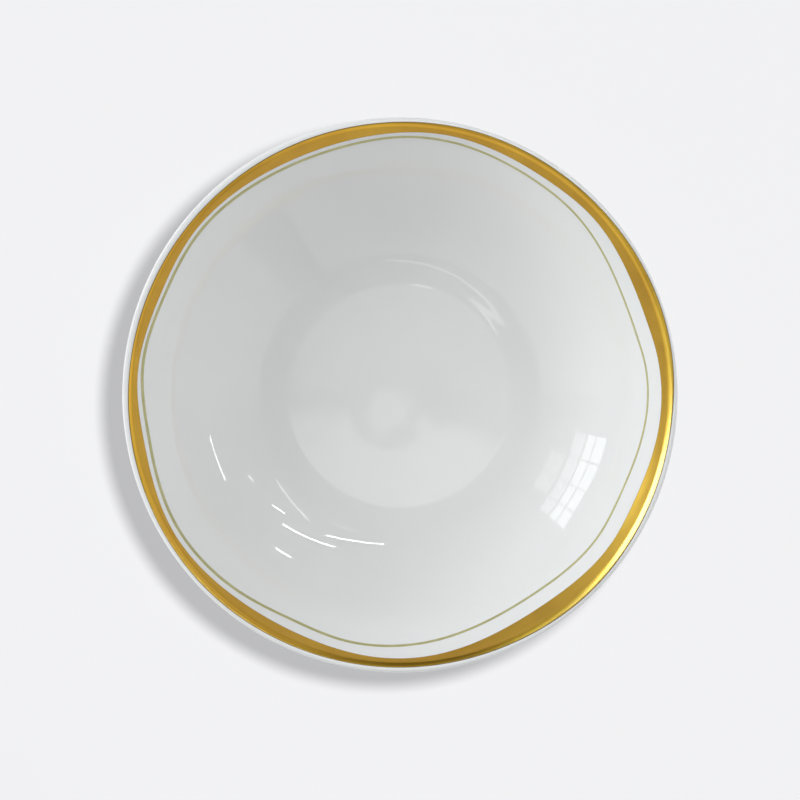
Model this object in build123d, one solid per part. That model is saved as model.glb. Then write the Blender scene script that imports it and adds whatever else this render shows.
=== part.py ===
from build123d import *
import math
import os

# Porcelain serving bowl, in millimetres.
# The foot stands on the plane Z = 0, and the Z axis is the axis that the bowl was turned on.
# Profiles are drawn as (radius, height) and then revolved about Z.

# Overall sizes
RIM_DIAMETER = 270.0
BOWL_HEIGHT = 72.0

# Foot ring and the recess inside it
FOOT_DIAMETER = 116.0
FOOT_RING_WIDTH = 4.6
FOOT_EDGE_ROUND = 1.1
RECESS_DEPTH = 5.4
RECESS_DOME = 0.8
RECESS_FILLET = 2.5

# Floor and wall
FLOOR_THICKNESS = 5.0
HAUNCH_THICKNESS = 5.2
WALL_THICKNESS = 4.4
WELL_OVERHANG = 5.0
WELL_RISE = 6.0
SHOULDER_INSET = 30.4
SHOULDER_DROP = 30.0

# Lip: the inside rolls over the top, then a tighter round leads to the outer wall
LIP_SLOPE = 55.0
LIP_ROLL_RADIUS = 4.4
LIP_EDGE_RADIUS = 1.5

# Coatings
GLAZE_THICKNESS = 0.4
BARE_FOOT_HEIGHT = 1.2
PAINT_THICKNESS = 0.2
PAINT_CLEARANCE = 0.02

# Room above the lip for the shapes that cut the painted rings
AIR_MARGIN = 5.0

# Spans of the splines that run parallel to the wall's surfaces
PARALLEL_STEPS = 24

# Fine line: the width of the brush stroke
LINE_WIDTH = 1.35

# Brushed outlines as (bearing in degrees, distance in from the crest of the lip).
# Both edges of the gold and the line wander, because they are drawn freehand.
GOLD_OUTER_EDGE = [
    (0, 0.5),
    (45, 0.3),
    (75, 0.3),
    (90, 0.8),
    (115, 1.3),
    (150, 1.6),
    (180, 1.4),
    (200, 0.8),
    (222, 0.3),
    (240, 0.6),
    (270, 1.1),
    (290, 1.1),
    (315, 0.4),
    (335, 0.9),
]
GOLD_INNER_EDGE = [
    (12, 7.1),
    (25, 7.7),
    (42, 5.8),
    (55, 6.4),
    (80, 4.9),
    (98, 6.5),
    (114, 7.3),
    (142, 5.6),
    (157, 6.8),
    (176, 5.3),
    (190, 6.6),
    (211, 4.6),
    (234, 6.6),
    (248, 6.8),
    (264, 5.3),
    (276, 5.5),
    (304, 9.3),
    (325, 7.5),
    (335, 8.0),
    (354, 6.2),
]
FINE_LINE_CENTRE = [
    (10, 13.0),
    (25, 13.9),
    (45, 10.4),
    (60, 9.5),
    (78, 7.6),
    (90, 7.6),
    (101, 8.9),
    (120, 9.0),
    (142, 7.5),
    (157, 8.6),
    (173, 7.2),
    (188, 9.0),
    (209, 7.2),
    (232, 9.6),
    (245, 11.5),
    (256, 10.5),
    (276, 11.7),
    (304, 15.8),
    (325, 14.1),
    (335, 14.8),
    (356, 12.3),
]

rim_radius = RIM_DIAMETER / 2
crest_radius = rim_radius - LIP_EDGE_RADIUS
foot_radius = FOOT_DIAMETER / 2
recess_height = RECESS_DEPTH + RECESS_DOME
floor_height = recess_height + FLOOR_THICKNESS
lip_slope = math.radians(LIP_SLOPE)
lip_direction = Vector(math.cos(lip_slope), math.sin(lip_slope))


def out_of_clay(direction):
    """Unit normal on the right-hand side of a direction along the inside surface."""
    return Vector(direction.Y, -direction.X).normalized()


def floor_arc():
    """Inside floor, level at the middle and rising to the edge of the well."""
    well_edge = (foot_radius + WELL_OVERHANG, floor_height + WELL_RISE)
    return TangentArc((0, floor_height), well_edge, tangent=(1, 0))


def inner_wall(well_edge, well_direction, shoulder):
    """Inside surface from the edge of the well, past the shoulder, to the roll of the lip."""
    roll_width = LIP_ROLL_RADIUS * math.sin(lip_slope)
    roll_drop = LIP_ROLL_RADIUS * (1 - math.cos(lip_slope))
    lip_start = (crest_radius - roll_width, BOWL_HEIGHT - roll_drop)
    return Spline(
        well_edge,
        shoulder,
        lip_start,
        tangents=[well_direction, lip_direction],
    )


def foot_and_recess(wall_end, wall_direction):
    """Outline from the outer wall, down the foot ring, across its edge and under the floor."""
    slope = math.asin(-wall_direction.Y)
    fillet_radius = (wall_end.X - foot_radius) / (1 - math.sin(slope))
    turn = 90 - math.degrees(slope)
    fillet_arc = JernArc(wall_end, wall_direction, fillet_radius, turn)
    ring_inner_radius = foot_radius - FOOT_RING_WIDTH
    outer_side = Line(fillet_arc @ 1, (foot_radius, 0))
    standing_edge = Line(outer_side @ 1, (ring_inner_radius, 0))
    inner_side = Line(standing_edge @ 1, (ring_inner_radius, RECESS_DEPTH))
    recess_roof = TangentArc((0, recess_height), inner_side @ 1, tangent=(1, 0))
    return [fillet_arc, outer_side, standing_edge, inner_side, recess_roof]


def bowl_sections():
    """Half section of the glazed bowl, and of the open air above its inside surface."""
    floor = floor_arc()
    well_edge = floor @ 1
    well_direction = floor % 1
    shoulder = Vector(rim_radius - SHOULDER_INSET, BOWL_HEIGHT - SHOULDER_DROP)
    wall = inner_wall(well_edge, well_direction, shoulder)
    lip_roll = JernArc(wall @ 1, wall % 1, LIP_ROLL_RADIUS, -LIP_SLOPE)
    lip_edge_top = JernArc(lip_roll @ 1, lip_roll % 1, LIP_EDGE_RADIUS, -90)
    lip_edge_under = JernArc(lip_edge_top @ 1, lip_edge_top % 1, LIP_EDGE_RADIUS, LIP_SLOPE - 90)

    shoulder_direction = wall.tangent_at(wall.param_at_point(shoulder))
    outer_shoulder = shoulder + out_of_clay(shoulder_direction) * WALL_THICKNESS
    outer_wall_end = well_edge + out_of_clay(well_direction) * HAUNCH_THICKNESS
    outer_wall = Spline(
        lip_edge_under @ 1,
        outer_shoulder,
        outer_wall_end,
        tangents=[lip_direction * -1, well_direction * -1],
    )
    underside = foot_and_recess(outer_wall_end, well_direction * -1)
    middle = Line((0, recess_height), floor @ 0)
    inside = [floor, wall, lip_roll, lip_edge_top]
    bowl = make_face([*inside, lip_edge_under, outer_wall, *underside, middle])
    edge_corners = bowl.vertices().filter_by(lambda corner: corner.Y < FOOT_EDGE_ROUND)
    bowl = fillet(edge_corners, FOOT_EDGE_ROUND)
    recess_corner = bowl.vertices().sort_by_distance((foot_radius - FOOT_RING_WIDTH, RECESS_DEPTH))[0]
    bowl = fillet(recess_corner, RECESS_FILLET)

    air_top = BOWL_HEIGHT + AIR_MARGIN
    air_outline = Polyline(lip_edge_top @ 1, (rim_radius, air_top), (0, air_top), floor @ 0)
    air = make_face([*inside, air_outline])
    return bowl, air


def plain_edge(edge):
    """The same edge, redrawn as a spline where it is a parallel of another spline."""
    if edge.geom_type != GeomType.OFFSET:
        return edge
    return Spline(*[edge @ (step / PARALLEL_STEPS) for step in range(PARALLEL_STEPS + 1)])


def grown(section, amount):
    """Half section with its outline moved out by an amount, or in where it is negative."""
    whole = section + mirror(section, about=Plane.YZ)
    half_plane = Pos(RIM_DIAMETER, 0) * Rectangle(2 * RIM_DIAMETER, 4 * RIM_DIAMETER)
    half = offset(whole, amount) & half_plane
    return make_face([plain_edge(edge) for edge in half.edges()])


def turned(section):
    """Solid of revolution of a half section about the bowl's axis."""
    return revolve(Plane.XZ * section, Axis.Z)


def brushed_outline(knots, shift=0.0):
    """Area seen from above inside a freehand outline, all of it moved in by a shift."""
    points = []
    for bearing, distance in knots:
        angle = math.radians(bearing)
        radius = crest_radius - distance - shift
        points.append((radius * math.cos(angle), radius * math.sin(angle)))
    return make_face(Spline(*points, periodic=True))


def painted_ring(skin, outer_outline, inner_outline):
    """Part of a thin turned skin that lies between two outlines seen from above."""
    stencil = extrude(outer_outline - inner_outline, BOWL_HEIGHT + AIR_MARGIN)
    return skin & stencil


def body_section(bowl):
    """Fired clay: all that lies deeper than the glaze, and the bare standing edge of the foot."""
    bare_foot = Pos(0, BARE_FOOT_HEIGHT / 2) * Rectangle(2 * RIM_DIAMETER, BARE_FOOT_HEIGHT)
    return grown(bowl, -GLAZE_THICKNESS) + (bowl & bare_foot)


def gold_band(skin):
    """Burnished gold on the inside of the lip, between two freehand edges."""
    outer_outline = brushed_outline(GOLD_OUTER_EDGE)
    inner_outline = brushed_outline(GOLD_INNER_EDGE)
    return painted_ring(skin, outer_outline, inner_outline)


def fine_line(skin):
    """Thin painted line that follows the gold's inner edge a little lower down."""
    outer_outline = brushed_outline(FINE_LINE_CENTRE, -LINE_WIDTH / 2)
    inner_outline = brushed_outline(FINE_LINE_CENTRE, LINE_WIDTH / 2)
    return painted_ring(skin, outer_outline, inner_outline)


def build_bowl():
    """Every sub-part by name, each where it sits in the finished bowl."""
    bowl, air = bowl_sections()
    body = body_section(bowl)
    recess_glaze, main_glaze = (bowl - body).faces().sort_by(lambda face: face.area)
    skin_top = grown(bowl, PAINT_CLEARANCE + PAINT_THICKNESS)
    skin = turned((skin_top - grown(bowl, PAINT_CLEARANCE)) & air)
    return {
        "porcelain_body": turned(body),
        "glaze_coat": turned(main_glaze),
        "foot_well_glaze": turned(recess_glaze),
        "gold_band": gold_band(skin),
        "fine_line": fine_line(skin),
    }


os.makedirs("parts", exist_ok=True)
for name, shape in build_bowl().items():
    export_step(shape, f"parts/{name}.step")
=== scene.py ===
import math

import bpy
import numpy as np
from mathutils import Matrix, Vector
from mathutils.bvhtree import BVHTree


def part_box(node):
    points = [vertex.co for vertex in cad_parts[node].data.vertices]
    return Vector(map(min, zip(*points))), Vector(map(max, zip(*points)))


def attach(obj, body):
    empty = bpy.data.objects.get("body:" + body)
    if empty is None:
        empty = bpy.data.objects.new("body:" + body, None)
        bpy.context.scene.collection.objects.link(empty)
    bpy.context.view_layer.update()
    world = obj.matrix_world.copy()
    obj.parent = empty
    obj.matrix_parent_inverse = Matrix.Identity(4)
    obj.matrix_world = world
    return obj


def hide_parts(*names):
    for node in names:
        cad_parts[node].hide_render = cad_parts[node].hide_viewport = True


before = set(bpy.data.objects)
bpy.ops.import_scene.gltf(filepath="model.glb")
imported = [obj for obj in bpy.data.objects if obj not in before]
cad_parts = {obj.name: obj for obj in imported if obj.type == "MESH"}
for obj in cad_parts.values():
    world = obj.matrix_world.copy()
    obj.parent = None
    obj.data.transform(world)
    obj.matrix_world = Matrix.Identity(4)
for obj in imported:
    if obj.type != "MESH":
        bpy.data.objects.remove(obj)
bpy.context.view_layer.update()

MM = 0.001

# ---------------------------------------------------------------- bowl sizes
# Radii and heights of the bowl's half section, in millimetres. The rim, the height and the
# bare foot come from the frame, and the rest repeat the sizes that the CAD was built with.

glaze_low, glaze_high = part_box("glaze_coat")
RIM_RADIUS = glaze_high.x / MM
BOWL_HEIGHT = glaze_high.z / MM
BARE_FOOT_HEIGHT = glaze_low.z / MM

FOOT_RADIUS = 58.0
FOOT_RING_WIDTH = 4.6
FOOT_EDGE_ROUND = 1.1
RECESS_DEPTH = 5.4
RECESS_DOME = 0.8
RECESS_FILLET = 2.5
FLOOR_THICKNESS = 5.0
HAUNCH_THICKNESS = 5.2
WALL_THICKNESS = 4.4
WELL_OVERHANG = 5.0
WELL_RISE = 6.0
SHOULDER_INSET = 30.4
SHOULDER_DROP = 30.0
LIP_SLOPE = math.radians(55)
LIP_ROLL_RADIUS = 4.4
LIP_EDGE_RADIUS = 1.5
GLAZE_THICKNESS = 0.4

CREST_RADIUS = RIM_RADIUS - LIP_EDGE_RADIUS
RECESS_HEIGHT = RECESS_DEPTH + RECESS_DOME
FLOOR_HEIGHT = RECESS_HEIGHT + FLOOR_THICKNESS

# Low rings left by the turning tool: radius, half width and height, below zero for a groove
TURNING_RINGS = (
    (20.0, 6.0, 0.03),
    (56.5, 4.0, -0.14),
    (71.0, 5.0, -0.12),
    (84.0, 5.0, 0.03),
    (97.0, 4.5, -0.03),
    (108.0, 4.0, 0.025),
)

# Points on each stretch of the half section
FLOOR_POINTS = 56
WALL_POINTS = 76
LIP_POINTS = 16
OUTER_WALL_POINTS = 56
FOOT_FILLET_POINTS = 14
FOOT_SIDE_POINTS = 3
FOOT_EDGE_POINTS = 9
RECESS_SIDE_POINTS = 5
RECESS_FILLET_POINTS = 12
RECESS_ROOF_POINTS = 40

# Segments round a turned piece, and the least turn that shows as an edge on it
SEGMENTS = 336
SHARP_ANGLE = math.radians(40)

# Where glaze hides the clay, one point in this many is kept
HIDDEN_STEP = 4

# Brush strokes: height in millimetres, how square the section is, and points across
GOLD_STROKE = {"height": 0.17, "squareness": 10, "across": 29}
LINE_STROKE = {"height": 0.12, "squareness": 3, "across": 13}
STROKE_SEGMENTS = 1080
STROKE_SHARP_ANGLE = math.radians(60)

# How deep a stroke's edges sink into the glaze, in millimetres; its underside sinks twice that
STROKE_SINK = 0.06

# The underside of a stroke repeats one in this many of the points across its top
UNDERSIDE_STEP = 4

# How a stroke's edges are found: the first step in millimetres, the halvings after it,
# and the waves round the bowl that are kept
EDGE_STEP = 0.3
EDGE_HALVINGS = 12
EDGE_WAVES = 60

# Where the floor's lamp hangs: the point on the floor below it, and its height, in metres
LAMP_FOOT = (0.162, 0.103)
LAMP_HEIGHT = 1.3


# ---------------------------------------------------------------- half section

def direction(angle):
    return np.array([math.cos(angle), math.sin(angle)])


def turn_right(vector):
    return np.array([vector[1], -vector[0]])


def arc(centre, radius, start, end, count):
    """Points on an arc, with angles in radians from the radial direction."""
    angles = np.linspace(start, end, count)
    return np.column_stack(
        [centre[0] + radius * np.cos(angles), centre[1] + radius * np.sin(angles)]
    )


def smooth_curve(knots, start_direction, end_direction, count):
    """Points on the cubic spline through three knots, with its direction given at both ends."""
    knots = np.array(knots, float)
    spans = np.linalg.norm(np.diff(knots, axis=0), axis=1)
    slopes = np.diff(knots, axis=0) / spans[:, None]
    weighted = 3 * (spans[1] * slopes[0] + spans[0] * slopes[1])
    ends = spans[1] * start_direction + spans[0] * end_direction
    middle = (weighted - ends) / (2 * (spans[0] + spans[1]))
    tangents = [start_direction, middle, end_direction]
    total = spans.sum()
    points = []
    for position in np.linspace(0, total, count):
        span = 0 if position < spans[0] else 1
        s = (position - span * spans[0]) / spans[span]
        points.append(
            (2 * s**3 - 3 * s**2 + 1) * knots[span]
            + (s**3 - 2 * s**2 + s) * spans[span] * tangents[span]
            + (3 * s**2 - 2 * s**3) * knots[span + 1]
            + (s**3 - s**2) * spans[span] * tangents[span + 1]
        )
    return np.array(points), middle / np.linalg.norm(middle)


def inside_path():
    """Inside surface from the middle of the floor to the crest of the lip."""
    well_radius = FOOT_RADIUS + WELL_OVERHANG
    floor_radius = (well_radius**2 + WELL_RISE**2) / (2 * WELL_RISE)
    well_slope = 2 * math.atan2(WELL_RISE, well_radius)
    floor_centre = (0, FLOOR_HEIGHT + floor_radius)
    floor_end = well_slope - math.pi / 2
    floor = arc(floor_centre, floor_radius, -math.pi / 2, floor_end, FLOOR_POINTS)
    shoulder = np.array([RIM_RADIUS - SHOULDER_INSET, BOWL_HEIGHT - SHOULDER_DROP])
    roll_centre = (CREST_RADIUS, BOWL_HEIGHT - LIP_ROLL_RADIUS)
    roll = arc(roll_centre, LIP_ROLL_RADIUS, math.pi / 2 + LIP_SLOPE, math.pi / 2, LIP_POINTS)
    knots = [floor[-1], shoulder, roll[0]]
    wall, shoulder_direction = smooth_curve(
        knots, direction(well_slope), direction(LIP_SLOPE), WALL_POINTS
    )
    return floor, wall, roll, shoulder, shoulder_direction, well_slope


def outside_path(floor, shoulder, shoulder_direction, well_slope):
    """Outside surface from the crest of the lip to where the glaze ends on the foot ring."""
    edge_centre = (CREST_RADIUS, BOWL_HEIGHT - LIP_EDGE_RADIUS)
    edge = arc(edge_centre, LIP_EDGE_RADIUS, math.pi / 2, LIP_SLOPE - math.pi / 2, LIP_POINTS)
    outer_shoulder = shoulder + turn_right(shoulder_direction) * WALL_THICKNESS
    wall_end = floor[-1] + turn_right(direction(well_slope)) * HAUNCH_THICKNESS
    knots = [edge[-1], outer_shoulder, wall_end]
    wall, _ = smooth_curve(
        knots, -direction(LIP_SLOPE), -direction(well_slope), OUTER_WALL_POINTS
    )
    fillet_radius = (wall_end[0] - FOOT_RADIUS) / (1 - math.sin(well_slope))
    fillet_centre = (
        FOOT_RADIUS + fillet_radius,
        wall_end[1] - fillet_radius * math.cos(well_slope),
    )
    fillet_start = math.pi / 2 + well_slope
    fillet = arc(fillet_centre, fillet_radius, fillet_start, math.pi, FOOT_FILLET_POINTS)
    side = np.linspace(fillet[-1], (FOOT_RADIUS, BARE_FOOT_HEIGHT), FOOT_SIDE_POINTS)
    return edge, wall, fillet, side


def bare_foot_path():
    """Unglazed standing edge, from the outer side of the foot ring to its inner side."""
    inner_radius = FOOT_RADIUS - FOOT_RING_WIDTH
    outer_centre = (FOOT_RADIUS - FOOT_EDGE_ROUND, FOOT_EDGE_ROUND)
    inner_centre = (inner_radius + FOOT_EDGE_ROUND, FOOT_EDGE_ROUND)
    outer_round = arc(outer_centre, FOOT_EDGE_ROUND, 0, -math.pi / 2, FOOT_EDGE_POINTS)
    inner_round = arc(inner_centre, FOOT_EDGE_ROUND, -math.pi / 2, -math.pi, FOOT_EDGE_POINTS)
    start = [(FOOT_RADIUS, BARE_FOOT_HEIGHT)]
    end = [(inner_radius, BARE_FOOT_HEIGHT)]
    return np.vstack([start, outer_round, inner_round, end])


def recess_path():
    """Glazed recess, from the inner side of the foot ring to the middle of its roof."""
    inner_radius = FOOT_RADIUS - FOOT_RING_WIDTH
    roof_radius = (inner_radius**2 + RECESS_DOME**2) / (2 * RECESS_DOME)
    fillet_centre_radius = inner_radius - RECESS_FILLET
    reach = roof_radius - RECESS_FILLET
    roof_centre = (0, RECESS_HEIGHT - roof_radius)
    lean = math.asin(fillet_centre_radius / reach)
    fillet_centre = (fillet_centre_radius, roof_centre[1] + reach * math.cos(lean))
    side_end = (inner_radius, fillet_centre[1])
    side = np.linspace((inner_radius, BARE_FOOT_HEIGHT), side_end, RECESS_SIDE_POINTS)
    fillet = arc(fillet_centre, RECESS_FILLET, 0, math.pi / 2 - lean, RECESS_FILLET_POINTS)
    roof = arc(roof_centre, roof_radius, math.pi / 2 - lean, math.pi / 2, RECESS_ROOF_POINTS)
    return side, fillet, roof


def with_turning_rings(path):
    """The inside surface with the low rings that the turning tool left in it."""
    raised = path.copy()
    for radius, width, height in TURNING_RINGS:
        raised[:, 1] += height * np.exp(-(((path[:, 0] - radius) / width) ** 2))
    return raised


def joined(*stretches):
    """One path from stretches that each start where the one before ends."""
    points = [stretches[0]]
    for stretch in stretches[1:]:
        points.append(stretch[1:])
    return np.vstack(points)


def right_normals(path):
    """Unit normals on a path's right, which is the clay's side of the inside surface."""
    along = np.gradient(path, axis=0)
    along /= np.linalg.norm(along, axis=1)[:, None]
    return np.column_stack([along[:, 1], -along[:, 0]])


def under_glaze(path):
    """The same path, one glaze thickness deeper and with fewer points."""
    kept = np.unique(np.append(np.arange(0, len(path), HIDDEN_STEP), len(path) - 1))
    deeper = path + right_normals(path) * GLAZE_THICKNESS
    deeper[path[:, 0] == 0, 0] = 0
    return deeper[kept]


# ---------------------------------------------------------------- meshes

def mark_across(piece, values):
    """Stores how far across the brush stroke each vertex lies, from 0 inside to 1 outside."""
    attribute = piece.data.attributes.new("across", "FLOAT", "POINT")
    attribute.data.foreach_set("value", values)


def new_object(name, vertices, faces, sharp_angle):
    """A mesh object from vertices in millimetres, smooth apart from its sharp turns."""
    mesh = bpy.data.meshes.new(name)
    mesh.from_pydata([tuple(v) for v in np.array(vertices) * MM], [], faces)
    mesh.validate()
    mesh.shade_smooth()
    mesh.set_sharp_from_angle(angle=sharp_angle)
    obj = bpy.data.objects.new(name, mesh)
    bpy.context.scene.collection.objects.link(obj)
    return obj


def turned(name, outline):
    """A closed solid turned from an outline that starts and ends on the axis."""
    bearings = np.arange(SEGMENTS) * (2 * math.pi / SEGMENTS)
    rings = outline[1:-1]
    vertices = [(0, 0, outline[0][1]), (0, 0, outline[-1][1])]
    for radius, height in rings:
        for bearing in bearings:
            vertices.append((radius * math.cos(bearing), radius * math.sin(bearing), height))
    faces = []
    last = 2 + (len(rings) - 1) * SEGMENTS
    for k in range(SEGMENTS):
        after = (k + 1) % SEGMENTS
        faces.append((0, 2 + k, 2 + after))
        faces.append((1, last + after, last + k))
        for ring in range(len(rings) - 1):
            a = 2 + ring * SEGMENTS
            b = a + SEGMENTS
            faces.append((a + k, b + k, b + after, a + after))
    return new_object(name, vertices, faces, SHARP_ANGLE)


def node_edges(node, bearings):
    """Inner and outer radius of a painted node at each bearing, in millimetres."""
    tree = BVHTree.FromObject(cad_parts[node], bpy.context.evaluated_depsgraph_get())
    down = Vector((0, 0, -1))
    top = BOWL_HEIGHT * MM * 2
    edges = []

    def covered(radius, bearing):
        x = radius * MM * math.cos(bearing)
        y = radius * MM * math.sin(bearing)
        return tree.ray_cast(Vector((x, y, top)), down)[0] is not None

    def edge_between(inside, outside, bearing):
        for _ in range(EDGE_HALVINGS):
            middle = (inside + outside) / 2
            if covered(middle, bearing):
                inside = middle
            else:
                outside = middle
        return (inside + outside) / 2

    for bearing in bearings:
        radius = RIM_RADIUS
        while not covered(radius, bearing):
            radius -= EDGE_STEP
        outer = edge_between(radius, radius + EDGE_STEP, bearing)
        while covered(radius, bearing):
            radius -= EDGE_STEP
        inner = edge_between(radius + EDGE_STEP, radius, bearing)
        edges.append((inner, outer))
    return np.array(edges)


def without_facets(values):
    """Periodic values with the fine steps of the frame's triangles taken out."""
    spectrum = np.fft.rfft(values)
    spectrum[EDGE_WAVES:] = 0
    return np.fft.irfft(spectrum, len(values))


def painted_ring(name, node, surface, wander, trim, height, squareness, across):
    """A raised band of paint that follows the glaze between the two edges of its node."""
    bearings = np.arange(STROKE_SEGMENTS) * (2 * math.pi / STROKE_SEGMENTS)
    edges = node_edges(node, bearings)
    inner = without_facets(edges[:, 0]) + trim(bearings)
    outer = without_facets(edges[:, 1]) - trim(bearings)
    share = (1 - np.cos(np.linspace(0, math.pi, across))) / 2
    profile = (1 - np.abs(2 * share - 1) ** squareness) ** (1 / squareness)
    under = share[::UNDERSIDE_STEP][::-1]
    normals = right_normals(surface)
    vertices = []
    for k, bearing in enumerate(bearings):
        plan = inner[k] + (outer[k] - inner[k]) * share
        rise = height * profile * wander(bearing, plan) - STROKE_SINK * (profile == 0)
        plan = np.append(plan, inner[k] + (outer[k] - inner[k]) * under)
        rise = np.append(rise, np.full(len(under), -2 * STROKE_SINK))
        z = np.interp(plan, surface[:, 0], surface[:, 1])
        out_r = -np.interp(plan, surface[:, 0], normals[:, 0])
        out_z = -np.interp(plan, surface[:, 0], normals[:, 1])
        r = plan + rise * out_r
        z = z + rise * out_z
        vertices.append(np.column_stack([r * math.cos(bearing), r * math.sin(bearing), z]))
    per_ring = len(vertices[0])
    faces = []
    for k in range(STROKE_SEGMENTS):
        a = k * per_ring
        b = ((k + 1) % STROKE_SEGMENTS) * per_ring
        for i in range(per_ring):
            j = (i + 1) % per_ring
            faces.append((a + i, a + j, b + j, b + i))
    piece = new_object(name, np.vstack(vertices), faces, STROKE_SHARP_ANGLE)
    mark_across(piece, np.tile(np.append(share, under), STROKE_SEGMENTS))
    return piece


def gold_wander(bearing, plan):
    """Uneven thickness of brushed gold: long swells, and fine streaks along the stroke."""
    swell = 0.10 * math.sin(5 * bearing + 0.8) + 0.07 * math.sin(13 * bearing + 2.1)
    drift = 0.9 * math.sin(3 * bearing) + 0.5 * math.sin(8 * bearing + 1.3)
    streaks = 0.02 * np.sin(plan * 5.1 + drift) + 0.015 * np.sin(plan * 9.7 - 1.7 * drift)
    return 1 + swell + streaks


def gold_trim(bearings):
    """The gold fills its node from edge to edge."""
    return np.zeros(len(bearings))


def line_trim(bearings):
    """How much thinner than its node the line is on each side: most on the right."""
    return 0.15 + 0.12 * np.cos(bearings - math.radians(10))


def line_wander(bearing, plan):
    """Uneven thickness of the thin line, where the brush carries more or less enamel."""
    return 1 + 0.15 * math.sin(9 * bearing) + 0.1 * math.sin(23 * bearing + 1.0)


# ---------------------------------------------------------------- materials

def new_material(name):
    material = bpy.data.materials.new(name)
    material.use_nodes = True
    tree = material.node_tree
    shader = tree.nodes["Principled BSDF"]
    return material, tree, shader


def noise(tree, vector, scale, detail, roughness=0.5):
    node = tree.nodes.new("ShaderNodeTexNoise")
    node.inputs["Scale"].default_value = scale
    node.inputs["Detail"].default_value = detail
    node.inputs["Roughness"].default_value = roughness
    tree.links.new(vector, node.inputs["Vector"])
    return node.outputs["Fac"]


def remapped(tree, value, from_low, from_high, to_low, to_high, interpolation="LINEAR"):
    node = tree.nodes.new("ShaderNodeMapRange")
    node.interpolation_type = interpolation
    node.inputs["From Min"].default_value = from_low
    node.inputs["From Max"].default_value = from_high
    node.inputs["To Min"].default_value = to_low
    node.inputs["To Max"].default_value = to_high
    tree.links.new(value, node.inputs["Value"])
    return node.outputs["Result"]


def mixed(tree, factor, first, second):
    """Colour mix; first and second are colours or sockets."""
    node = tree.nodes.new("ShaderNodeMix")
    node.data_type = "RGBA"
    tree.links.new(factor, node.inputs["Factor"])
    for socket, value in ((node.inputs[6], first), (node.inputs[7], second)):
        if isinstance(value, tuple):
            socket.default_value = (*value, 1)
        else:
            tree.links.new(value, socket)
    return node.outputs[2]


def math_node(tree, operation, first, second=None):
    node = tree.nodes.new("ShaderNodeMath")
    node.operation = operation
    for socket, value in ((node.inputs[0], first), (node.inputs[1], second)):
        if value is None:
            continue
        if isinstance(value, (int, float)):
            socket.default_value = value
        else:
            tree.links.new(value, socket)
    return node.outputs[0]


def bumped(tree, height, strength, distance, below=None):
    node = tree.nodes.new("ShaderNodeBump")
    node.inputs["Strength"].default_value = strength
    node.inputs["Distance"].default_value = distance
    tree.links.new(height, node.inputs["Height"])
    if below is not None:
        tree.links.new(below, node.inputs["Normal"])
    return node.outputs["Normal"]


def object_coordinates(tree):
    return tree.nodes.new("ShaderNodeTexCoord").outputs["Object"]


def split(tree, vector):
    node = tree.nodes.new("ShaderNodeSeparateXYZ")
    tree.links.new(vector, node.inputs[0])
    return node.outputs["X"], node.outputs["Y"], node.outputs["Z"]


def flat_distance(tree, x, y):
    """Distance from the axis of a point with these two coordinates."""
    x_squared = math_node(tree, "MULTIPLY", x, x)
    y_squared = math_node(tree, "MULTIPLY", y, y)
    return math_node(tree, "SQRT", math_node(tree, "ADD", x_squared, y_squared))


def squared_distance(tree, x, y, middle):
    """Squared distance of a point with these two coordinates from a middle."""
    across = math_node(tree, "POWER", math_node(tree, "SUBTRACT", x, middle[0]), 2)
    along = math_node(tree, "POWER", math_node(tree, "SUBTRACT", y, middle[1]), 2)
    return math_node(tree, "ADD", across, along)


def radius_and_bearing(tree, place):
    x, y, z = split(tree, place)
    return flat_distance(tree, x, y), math_node(tree, "ARCTAN2", y, x), z


def glaze_material():
    """Clear glossy glaze on white porcelain, with faint turning rings and a pooled foot."""
    material, tree, shader = new_material("clear_glaze")
    place = object_coordinates(tree)
    radius, _, height = radius_and_bearing(tree, place)
    cloud = remapped(tree, noise(tree, place, 14, 3), 0.3, 0.7, 0, 1)
    body = mixed(tree, cloud, (0.766, 0.780, 0.778), (0.794, 0.801, 0.802))
    low = remapped(tree, height, 0.013, 0.002, 0, 0.5)
    pooled = mixed(tree, low, body, (0.70, 0.735, 0.735))
    specks = remapped(tree, noise(tree, place, 420, 2, 0.6), 0.79, 0.83, 0, 0.5)
    colour = mixed(tree, specks, pooled, (0.36, 0.31, 0.25))
    tree.links.new(colour, shader.inputs["Base Color"])
    gloss = remapped(tree, noise(tree, place, 60, 4), 0.3, 0.7, 0.012, 0.035)
    tree.links.new(gloss, shader.inputs["Roughness"])
    shader.inputs["IOR"].default_value = 1.6
    shader.inputs["Subsurface Weight"].default_value = 0.08
    shader.inputs["Subsurface Radius"].default_value = (1.0, 0.9, 0.8)
    shader.inputs["Subsurface Scale"].default_value = 0.0015
    rings = tree.nodes.new("ShaderNodeTexWave")
    rings.wave_type = "RINGS"
    rings.rings_direction = "Z"
    rings.inputs["Scale"].default_value = 22
    rings.inputs["Distortion"].default_value = 1.5
    rings.inputs["Detail"].default_value = 1
    rings.inputs["Detail Scale"].default_value = 0.6
    tree.links.new(place, rings.inputs["Vector"])
    ring_bump = bumped(tree, rings.outputs["Fac"], 0.18, 0.00005)
    swell = bumped(tree, noise(tree, place, 26, 1), 0.35, 0.00035, ring_bump)
    skin = bumped(tree, noise(tree, place, 900, 2), 0.05, 0.00002, swell)
    tree.links.new(skin, shader.inputs["Normal"])
    return material


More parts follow.
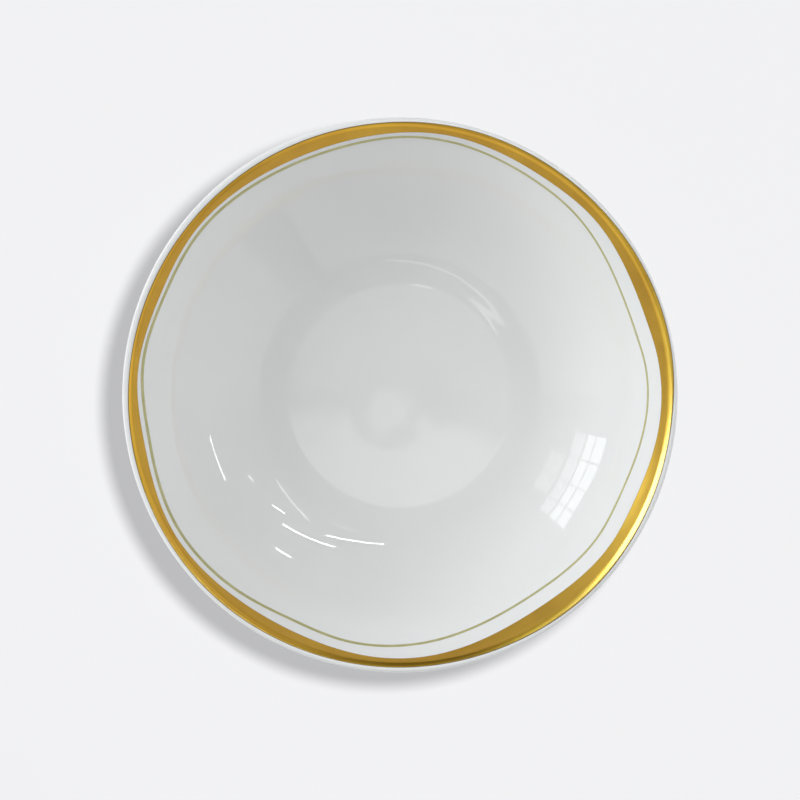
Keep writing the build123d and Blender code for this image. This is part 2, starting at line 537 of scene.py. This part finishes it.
def biscuit_material():
    """Bare fired porcelain on the standing edge, matt and faintly toasted."""
    material, tree, shader = new_material("biscuit_porcelain")
    place = object_coordinates(tree)
    toast = remapped(tree, noise(tree, place, 90, 5), 0.35, 0.7, 0, 1)
    clay = mixed(tree, toast, (0.74, 0.715, 0.67), (0.64, 0.59, 0.52))
    wear = remapped(tree, noise(tree, place, 900, 6, 0.7), 0.55, 0.75, 0, 0.5)
    tree.links.new(mixed(tree, wear, clay, (0.42, 0.38, 0.34)), shader.inputs["Base Color"])
    rough = remapped(tree, noise(tree, place, 300, 3), 0.3, 0.7, 0.62, 0.85)
    tree.links.new(rough, shader.inputs["Roughness"])
    grain = bumped(tree, noise(tree, place, 2400, 4, 0.7), 0.5, 0.00008)
    tree.links.new(grain, shader.inputs["Normal"])
    return material


def stroke_coordinates(tree, stretch):
    """Coordinates that run long along the brush stroke and short across it."""
    radius, bearing, height = radius_and_bearing(tree, object_coordinates(tree))
    node = tree.nodes.new("ShaderNodeCombineXYZ")
    for operation, socket in (("SINE", node.inputs["X"]), ("COSINE", node.inputs["Y"])):
        along = math_node(tree, "MULTIPLY", math_node(tree, operation, bearing), stretch)
        tree.links.new(along, socket)
    tree.links.new(math_node(tree, "SUBTRACT", radius, height), node.inputs["Z"])
    return node.outputs[0]


def gold_material():
    """Fired gold, burnished but still showing the brush, with painted shade and dark reflection along
    both edges.
    """
    material, tree, shader = new_material("burnished_gold")
    place = object_coordinates(tree)
    stroke = stroke_coordinates(tree, 0.02)
    fine_stroke = stroke_coordinates(tree, 0.004)
    shader.inputs["Metallic"].default_value = 1.0
    tone = remapped(tree, noise(tree, stroke, 260, 3), 0.3, 0.7, 0, 1)
    gold = mixed(tree, tone, (0.63, 0.335, 0.012), (0.71, 0.405, 0.022))
    thin = remapped(tree, noise(tree, place, 70, 4), 0.58, 0.78, 0, 0.4)
    worn = mixed(tree, thin, gold, (0.52, 0.275, 0.024))
    across = tree.nodes.new("ShaderNodeAttribute")
    across.attribute_name = "across"
    # Painted shade: the base colour turns dark brown along both edges of the stroke, standing in for
    # the shade and dark reflection at its raised edges.
    outer_edge_painted_shade = remapped(tree, across.outputs["Fac"], 0.92, 0.965, 0, 0.92)
    inner_edge_painted_shade = remapped(tree, across.outputs["Fac"], 0.05, 0.01, 0, 0.4)
    edge = math_node(tree, "MAXIMUM", outer_edge_painted_shade, inner_edge_painted_shade)
    tree.links.new(mixed(tree, edge, worn, (0.17, 0.12, 0.03)), shader.inputs["Base Color"])
    satin = remapped(tree, noise(tree, fine_stroke, 900, 4), 0.3, 0.7, 0.28, 0.38)
    tree.links.new(satin, shader.inputs["Roughness"])
    shader.inputs["Coat Weight"].default_value = 0.5
    shader.inputs["Coat Roughness"].default_value = 0.22
    shader.inputs["Coat IOR"].default_value = 1.7
    brushed = bumped(tree, noise(tree, fine_stroke, 1500, 3), 0.18, 0.00003)
    grain = bumped(tree, noise(tree, place, 1400, 2), 0.10, 0.00004, brushed)
    tree.links.new(grain, shader.inputs["Normal"])
    return material


def enamel_material():
    """Thin olive-gold enamel, paler where the brush ran dry."""
    material, tree, shader = new_material("olive_enamel")
    place = object_coordinates(tree)
    load = remapped(tree, noise(tree, place, 120, 4), 0.3, 0.7, 0, 1)
    colour = mixed(tree, load, (0.61, 0.585, 0.31), (0.51, 0.48, 0.23))
    tree.links.new(colour, shader.inputs["Base Color"])
    shader.inputs["Metallic"].default_value = 0.35
    rough = remapped(tree, noise(tree, place, 500, 3), 0.3, 0.7, 0.30, 0.48)
    tree.links.new(rough, shader.inputs["Roughness"])
    brushed = bumped(tree, noise(tree, stroke_coordinates(tree, 0.006), 1500, 3), 0.3, 0.00004)
    tree.links.new(brushed, shader.inputs["Normal"])
    return material


# ---------------------------------------------------------------- bowl

def finish_piece(piece, node, material):
    piece.data.materials.append(material)
    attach(piece, "root")
    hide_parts(node)


def build_bowl():
    floor, wall, roll, shoulder, shoulder_direction, well_slope = inside_path()
    edge, outer_wall, fillet, side = outside_path(floor, shoulder, shoulder_direction, well_slope)
    surface = with_turning_rings(joined(floor, wall, roll))
    coat = joined(surface, edge, outer_wall, fillet, side)
    recess = joined(*recess_path())
    coat_under = under_glaze(coat)
    recess_under = under_glaze(recess)
    bare = bare_foot_path()

    glaze = glaze_material()
    coat_piece = turned("glazed_bowl", np.vstack([coat, coat_under[::-1]]))
    recess_piece = turned("glazed_recess", np.vstack([recess_under[::-1], recess]))
    body_piece = turned("biscuit_body", np.vstack([coat_under, bare, recess_under]))
    finish_piece(coat_piece, "glaze_coat", glaze)
    finish_piece(recess_piece, "foot_well_glaze", glaze)
    finish_piece(body_piece, "porcelain_body", biscuit_material())

    gold = painted_ring(
        "brushed_gold_band", "gold_band", surface, gold_wander, gold_trim, **GOLD_STROKE
    )
    line = painted_ring(
        "brushed_fine_line", "fine_line", surface, line_wander, line_trim, **LINE_STROKE
    )
    finish_piece(gold, "gold_band", gold_material())
    finish_piece(line, "fine_line", enamel_material())


# ---------------------------------------------------------------- stage and light

def towards(bearing, elevation, distance):
    """A point seen from the bowl at a bearing and elevation in degrees, at a distance in metres."""
    b = math.radians(bearing)
    e = math.radians(elevation)
    flat = distance * math.cos(e)
    return Vector((flat * math.cos(b), flat * math.sin(b), distance * math.sin(e)))


def collection_of(name, pieces):
    """A collection of the pieces with these names, which a light can be kept to."""
    collection = bpy.data.collections.new(name)
    for piece in pieces:
        collection.objects.link(bpy.data.objects[piece])
    return collection


def light_only(light, receivers):
    """Keeps a light to one collection of objects."""
    light.light_linking.receiver_collection = receivers


def new_light(name, power, colour=(1, 1, 1)):
    data = bpy.data.lights.new(name, "AREA")
    data.energy = power
    data.color = colour
    light = bpy.data.objects.new(name, data)
    light.visible_camera = False
    bpy.context.scene.collection.objects.link(light)
    return light


def rectangle_light(name, size, power, colour=(1, 1, 1)):
    light = new_light(name, power, colour)
    light.data.shape = "RECTANGLE"
    light.data.size = size[0]
    light.data.size_y = size[1]
    return light


def power_for(size, radiance):
    """Power that gives a rectangle of a size in metres this radiance."""
    return radiance * math.pi * size[0] * size[1]


def face_point(obj, target):
    away = (Vector(target) - obj.location).normalized()
    obj.rotation_euler = away.to_track_quat("-Z", "Y").to_euler()


def floor_material():
    """Pale floor with a glow of its own, stronger past the lamp's reach, and weaker by the bowl as a
    painted contact shadow.
    """
    lamp_reach = 0.2
    lamp_end = 1.2
    paint = 0.10
    material, tree, shader = new_material("studio_floor")
    x, y, _ = split(tree, object_coordinates(tree))
    away = squared_distance(tree, x, y, LAMP_FOOT)
    paint_far = paint * (1 + 2 * lamp_reach / LAMP_HEIGHT**2)
    tone = remapped(tree, away, 0, lamp_reach, paint, paint_far)
    tree.links.new(tone, shader.inputs["Base Color"])
    shader.inputs["Roughness"].default_value = 0.9
    shader.inputs["Specular IOR Level"].default_value = 0.0
    spread = math_node(tree, "ADD", math_node(tree, "DIVIDE", away, LAMP_HEIGHT**2), 1)
    falloff = math_node(tree, "POWER", spread, -2)
    past_lamp = remapped(tree, away, lamp_reach, lamp_end, 1, 0, "SMOOTHSTEP")
    lamp_share = math_node(tree, "MAXIMUM", falloff, past_lamp)
    radius, _, _ = radius_and_bearing(tree, object_coordinates(tree))
    # Painted contact shadow: the floor's glow is dimmed to a dark grey close round the bowl's foot.
    clear_of_painted_shadow = remapped(tree, radius, 0.050, 0.112, 0, 1, "SMOOTHSTEP")
    near = mixed(tree, clear_of_painted_shadow, (0.13, 0.13, 0.135), (0.464, 0.464, 0.477))
    glow = mixed(tree, lamp_share, (0.85, 0.85, 0.863), near)
    tree.links.new(glow, shader.inputs["Emission Color"])
    shader.inputs["Emission Strength"].default_value = 1.0
    return material


def build_floor():
    """Plain pale floor, a little below the foot so that the two don't meet."""
    half = 8.0
    drop = 0.0002
    mesh = bpy.data.meshes.new("studio_floor")
    corners = [(-half, -half, 0), (half, -half, 0), (half, half, 0), (-half, half, 0)]
    mesh.from_pydata(corners, [], [(0, 1, 2, 3)])
    floor = bpy.data.objects.new("studio_floor", mesh)
    bpy.context.scene.collection.objects.link(floor)
    floor.location.z = -drop
    mesh.materials.append(floor_material())


def build_floor_light():
    """Soft lamp above and to the right, kept to the floor, which throws the bowl's shadow."""
    lamp = new_light("floor_lamp", 64.5)
    lamp.data.shape = "DISK"
    lamp.data.size = 0.15
    lamp.location = (*LAMP_FOOT, LAMP_HEIGHT)
    face_point(lamp, (*LAMP_FOOT, 0))
    light_only(lamp, collection_of("lit_floor", ("studio_floor",)))


def window_light(name, across, up, size, radiance):
    """One pane of the window, placed on the window's wall by its middle and size in metres."""
    wall_distance = 2.2
    wall_bearing = math.radians(155)
    outward = Vector((math.cos(wall_bearing), math.sin(wall_bearing), 0))
    sideways = Vector((-math.sin(wall_bearing), math.cos(wall_bearing), 0))
    pane = rectangle_light(name, size, power_for(size, radiance), (0.96, 0.98, 1.0))
    pane.location = outward * wall_distance + sideways * across + Vector((0, 0, up))
    pane.rotation_euler = outward.to_track_quat("Z", "Y").to_euler()
    return pane


def build_window(bowl_parts):
    """Window on the left, in four columns of panes, with brighter lower rows and a narrower top."""
    # In metres on the wall: left and right of each column, and low and high of each row,
    # which also has its radiance
    columns = ((-0.56, -0.37), (-0.35, -0.11), (-0.09, 0.20), (0.22, 0.51))
    rows = ((0.385, 0.50, 2.8), (0.52, 0.69, 2.8), (0.725, 0.975, 1.5), (1.06, 1.60, 1.0))
    top_row = len(rows) - 1
    outer_columns = (0, len(columns) - 1)
    for row, (low, high, radiance) in enumerate(rows):
        for column, (left, right) in enumerate(columns):
            if row == top_row and column in outer_columns:
                continue
            size = (right - left, high - low)
            middle = (left + right) / 2
            name = f"window_pane_{row}_{column}"
            pane = window_light(name, middle, (low + high) / 2, size, radiance)
            light_only(pane, bowl_parts)


def build_strip(name, start, end, width, radiance, glazed_parts):
    """Thin tube light between two directions, given as bearing and elevation."""
    distance = 2.2
    a = towards(*start, distance)
    b = towards(*end, distance)
    size = ((b - a).length, width)
    strip = rectangle_light(name, size, power_for(size, radiance))
    strip.location = (a + b) / 2
    along = (b - a).normalized()
    outward = strip.location - along * strip.location.dot(along)
    outward.normalize()
    turn = Matrix((along, outward.cross(along), outward)).transposed()
    strip.rotation_euler = turn.to_euler()
    light_only(strip, glazed_parts)


def build_strips(glazed_parts):
    """Tubes on the room's ceiling, seen in the glaze as bright strokes and as faint wide bands."""
    # Start and end as bearing and elevation in degrees, then width in metres and radiance
    tubes = (
        ((41, 31), (46, 33), 0.022, 28),
        ((48, 27), (67, 33), 0.024, 28),
        ((62, 38), (84, 44), 0.022, 28),
        ((51, 14.5), (56, 15.5), 0.024, 26),
        ((12, 16), (26, 16), 0.015, 16),
        ((28, 29), (31, 30), 0.018, 12),
        ((35, 44), (54, 40), 0.045, 3.5),
        ((61, 51), (72, 51), 0.110, 1.5),
        ((276, 63), (247, 67), 0.060, 1.5),
        ((247, 67), (225, 70), 0.060, 1.5),
        ((225, 70), (212, 72.5), 0.060, 1.5),
        ((263, 75), (253, 75.5), 0.080, 2.2),
    )
    for number, (start, end, width, radiance) in enumerate(tubes):
        build_strip(f"tube_{number}", start, end, width, radiance, glazed_parts)


def build_soft_boxes(bowl_parts):
    """Large soft lights that shade the bowl without being seen in it."""
    # Name, bearing and elevation in degrees, and power in watts
    boxes = (
        ("window_side", 163, 25, 36),
        ("right", 5, 30, 15.5),
        ("overhead", 90, 85, 12),
    )
    size = (1.6, 1.2)
    distance = 2.4
    middle_of_bowl = (0, 0, 0.04)
    for name, bearing, elevation, power in boxes:
        box = rectangle_light(f"soft_box_{name}", size, power, (0.98, 0.99, 1.0))
        box.location = towards(bearing, elevation, distance)
        face_point(box, middle_of_bowl)
        box.visible_glossy = False
        light_only(box, bowl_parts)


def build_gilding_lights():
    """Bluish glow and lamp, and two pale ceilings, that only the gold shows."""
    only_gold = collection_of("lit_gold", ("brushed_gold_band",))
    middle_of_gold = (0, 0, 0.07)
    # Name, place and size in metres, radiance and colour
    panels = (
        ("gilding_glow", towards(156, 31, 2.2), (0.9, 2.9), 16.0, (0.34, 0.46, 1.0)),
        ("gilding_lamp", towards(50, 70, 2.0), (0.6, 0.2), 7.0, (0.6, 0.72, 1.0)),
        ("gilding_ceiling_front", (0, -3.3, 1.3), (9.0, 6.0), 0.42, (1, 1, 1)),
        ("gilding_ceiling_right", (4.2, 2.0, 1.3), (7.0, 4.6), 0.66, (1, 1, 1)),
    )
    for name, place, size, radiance, colour in panels:
        panel = rectangle_light(name, size, power_for(size, radiance), colour)
        panel.location = place
        light_only(panel, only_gold)
    for name in ("gilding_glow", "gilding_lamp"):
        face_point(bpy.data.objects[name], middle_of_gold)


def painted_over(tree, room, colour, *shares):
    """The room with a colour laid over it, as far as all its shares allow."""
    share = shares[0]
    for other in shares[1:]:
        share = math_node(tree, "MULTIPLY", share, other)
    return mixed(tree, share, room, colour)


def off_bearing(tree, bearing, middle):
    """How far a bearing is from one given in degrees, either way."""
    difference = math_node(tree, "SUBTRACT", bearing, math.radians(middle))
    return math_node(tree, "ABSOLUTE", difference)


def with_walls(tree, room, near, spread, bearing):
    """The near wall, the right-hand wall and the dark corner between them."""
    outer = remapped(tree, spread, 0.74, 0.79, 0, 1)
    room = painted_over(tree, room, (0.50, 0.50, 0.49), near, outer)
    right_end = remapped(tree, bearing, math.radians(-43), math.radians(-41.5), 0, 1)
    before_far = remapped(tree, bearing, math.radians(12), math.radians(0), 0, 1)
    room = painted_over(tree, room, (0.42, 0.42, 0.415), right_end, outer, before_far)
    off_corner = off_bearing(tree, bearing, -51)
    corner = remapped(tree, off_corner, math.radians(8), math.radians(6.5), 0, 1)
    return painted_over(tree, room, (0.05, 0.05, 0.045), corner, outer)


def with_ceiling(tree, room, near, far, spread):
    """The ceiling: bright on the far side, and on the near side pale overhead and dark further out."""
    inner = remapped(tree, spread, 0.79, 0.74, 0, 1)
    past_middle = remapped(tree, spread, 0.24, 0.34, 0, 1)
    room = painted_over(tree, room, (0.03, 0.03, 0.028), inner, past_middle, near)
    middle = remapped(tree, spread, 0.34, 0.24, 0, 1)
    room = painted_over(tree, room, (0.62, 0.63, 0.62), near, middle)
    ceiling_edge = remapped(tree, spread, 0.342, 0.308, 0, 1)
    return painted_over(tree, room, (1.30, 1.35, 1.34), ceiling_edge, far)


def with_photographer(tree, room, u, v):
    """The round hood and the pale lens above the bowl."""
    off_lens = math_node(tree, "SQRT", squared_distance(tree, u, v, (0.033, 0.044)))
    hood = remapped(tree, off_lens, 0.105, 0.095, 0, 1)
    room = painted_over(tree, room, (0.55, 0.56, 0.55), hood)
    lens = remapped(tree, off_lens, 0.062, 0.054, 0, 1)
    return painted_over(tree, room, (1.20, 1.26, 1.23), lens)


def with_doorway(tree, room, bearing, z):
    """The dim doorway low on the far side."""
    off_centre = off_bearing(tree, bearing, 92)
    doorway = remapped(tree, off_centre, math.radians(24), math.radians(10), 0, 1)
    low = remapped(tree, z, 0.55, 0.40, 0, 1)
    return painted_over(tree, room, (0.06, 0.06, 0.06), doorway, low)


def build_world():
    """Room around the bowl, as directions from it; u and v are places on its ceiling."""
    world = bpy.data.worlds.new("studio")
    world.use_nodes = True
    tree = world.node_tree
    background = tree.nodes["Background"]
    place = tree.nodes.new("ShaderNodeTexCoord").outputs["Generated"]
    x, y, z = split(tree, place)
    rise = math_node(tree, "MAXIMUM", z, 0.05)
    u = math_node(tree, "DIVIDE", x, rise)
    v = math_node(tree, "DIVIDE", y, rise)
    spread = flat_distance(tree, u, v)
    bearing = math_node(tree, "ARCTAN2", y, x)
    ragged = remapped(tree, noise(tree, place, 8, 3), 0.3, 0.7, -0.07, 0.07)
    depth = math_node(tree, "ADD", v, ragged)
    near = remapped(tree, depth, 0.02, -0.02, 0, 1)
    far = remapped(tree, depth, 0.025, 0.095, 0, 1)

    height = remapped(tree, z, -0.05, 0.6, 0, 1)
    room = mixed(tree, height, (0.26, 0.265, 0.26), (0.22, 0.22, 0.215))
    room = with_walls(tree, room, near, spread, bearing)
    room = with_ceiling(tree, room, near, far, spread)
    room = with_photographer(tree, room, u, v)
    room = with_doorway(tree, room, bearing, z)
    tree.links.new(room, background.inputs["Color"])
    background.inputs["Strength"].default_value = 1.0
    bpy.context.scene.world = world


def build_camera():
    """Camera straight above the bowl, with the rim's radius set as a share of the frame."""
    height_above_rim = 1.5
    radius_share = 0.3475
    data = bpy.data.cameras.new("overhead")
    data.lens = 50
    half_width = RIM_RADIUS * MM / (2 * radius_share)
    data.sensor_width = 2 * data.lens * half_width / height_above_rim
    data.sensor_fit = "HORIZONTAL"
    camera = bpy.data.objects.new("overhead", data)
    camera.location = (0, 0, height_above_rim + BOWL_HEIGHT * MM)
    data.shift_y = -0.00625
    bpy.context.scene.collection.objects.link(camera)
    bpy.context.scene.camera = camera


build_bowl()
glazed_pieces = ("glazed_bowl", "glazed_recess")
other_pieces = ("biscuit_body", "brushed_gold_band", "brushed_fine_line")
bowl_parts = collection_of("lit_bowl", glazed_pieces + other_pieces)
glazed_parts = collection_of("lit_glaze", glazed_pieces)
build_floor()
build_floor_light()
build_window(bowl_parts)
build_strips(glazed_parts)
build_soft_boxes(bowl_parts)
build_gilding_lights()
build_world()
build_camera()
bpy.context.scene.view_settings.view_transform = "Standard"
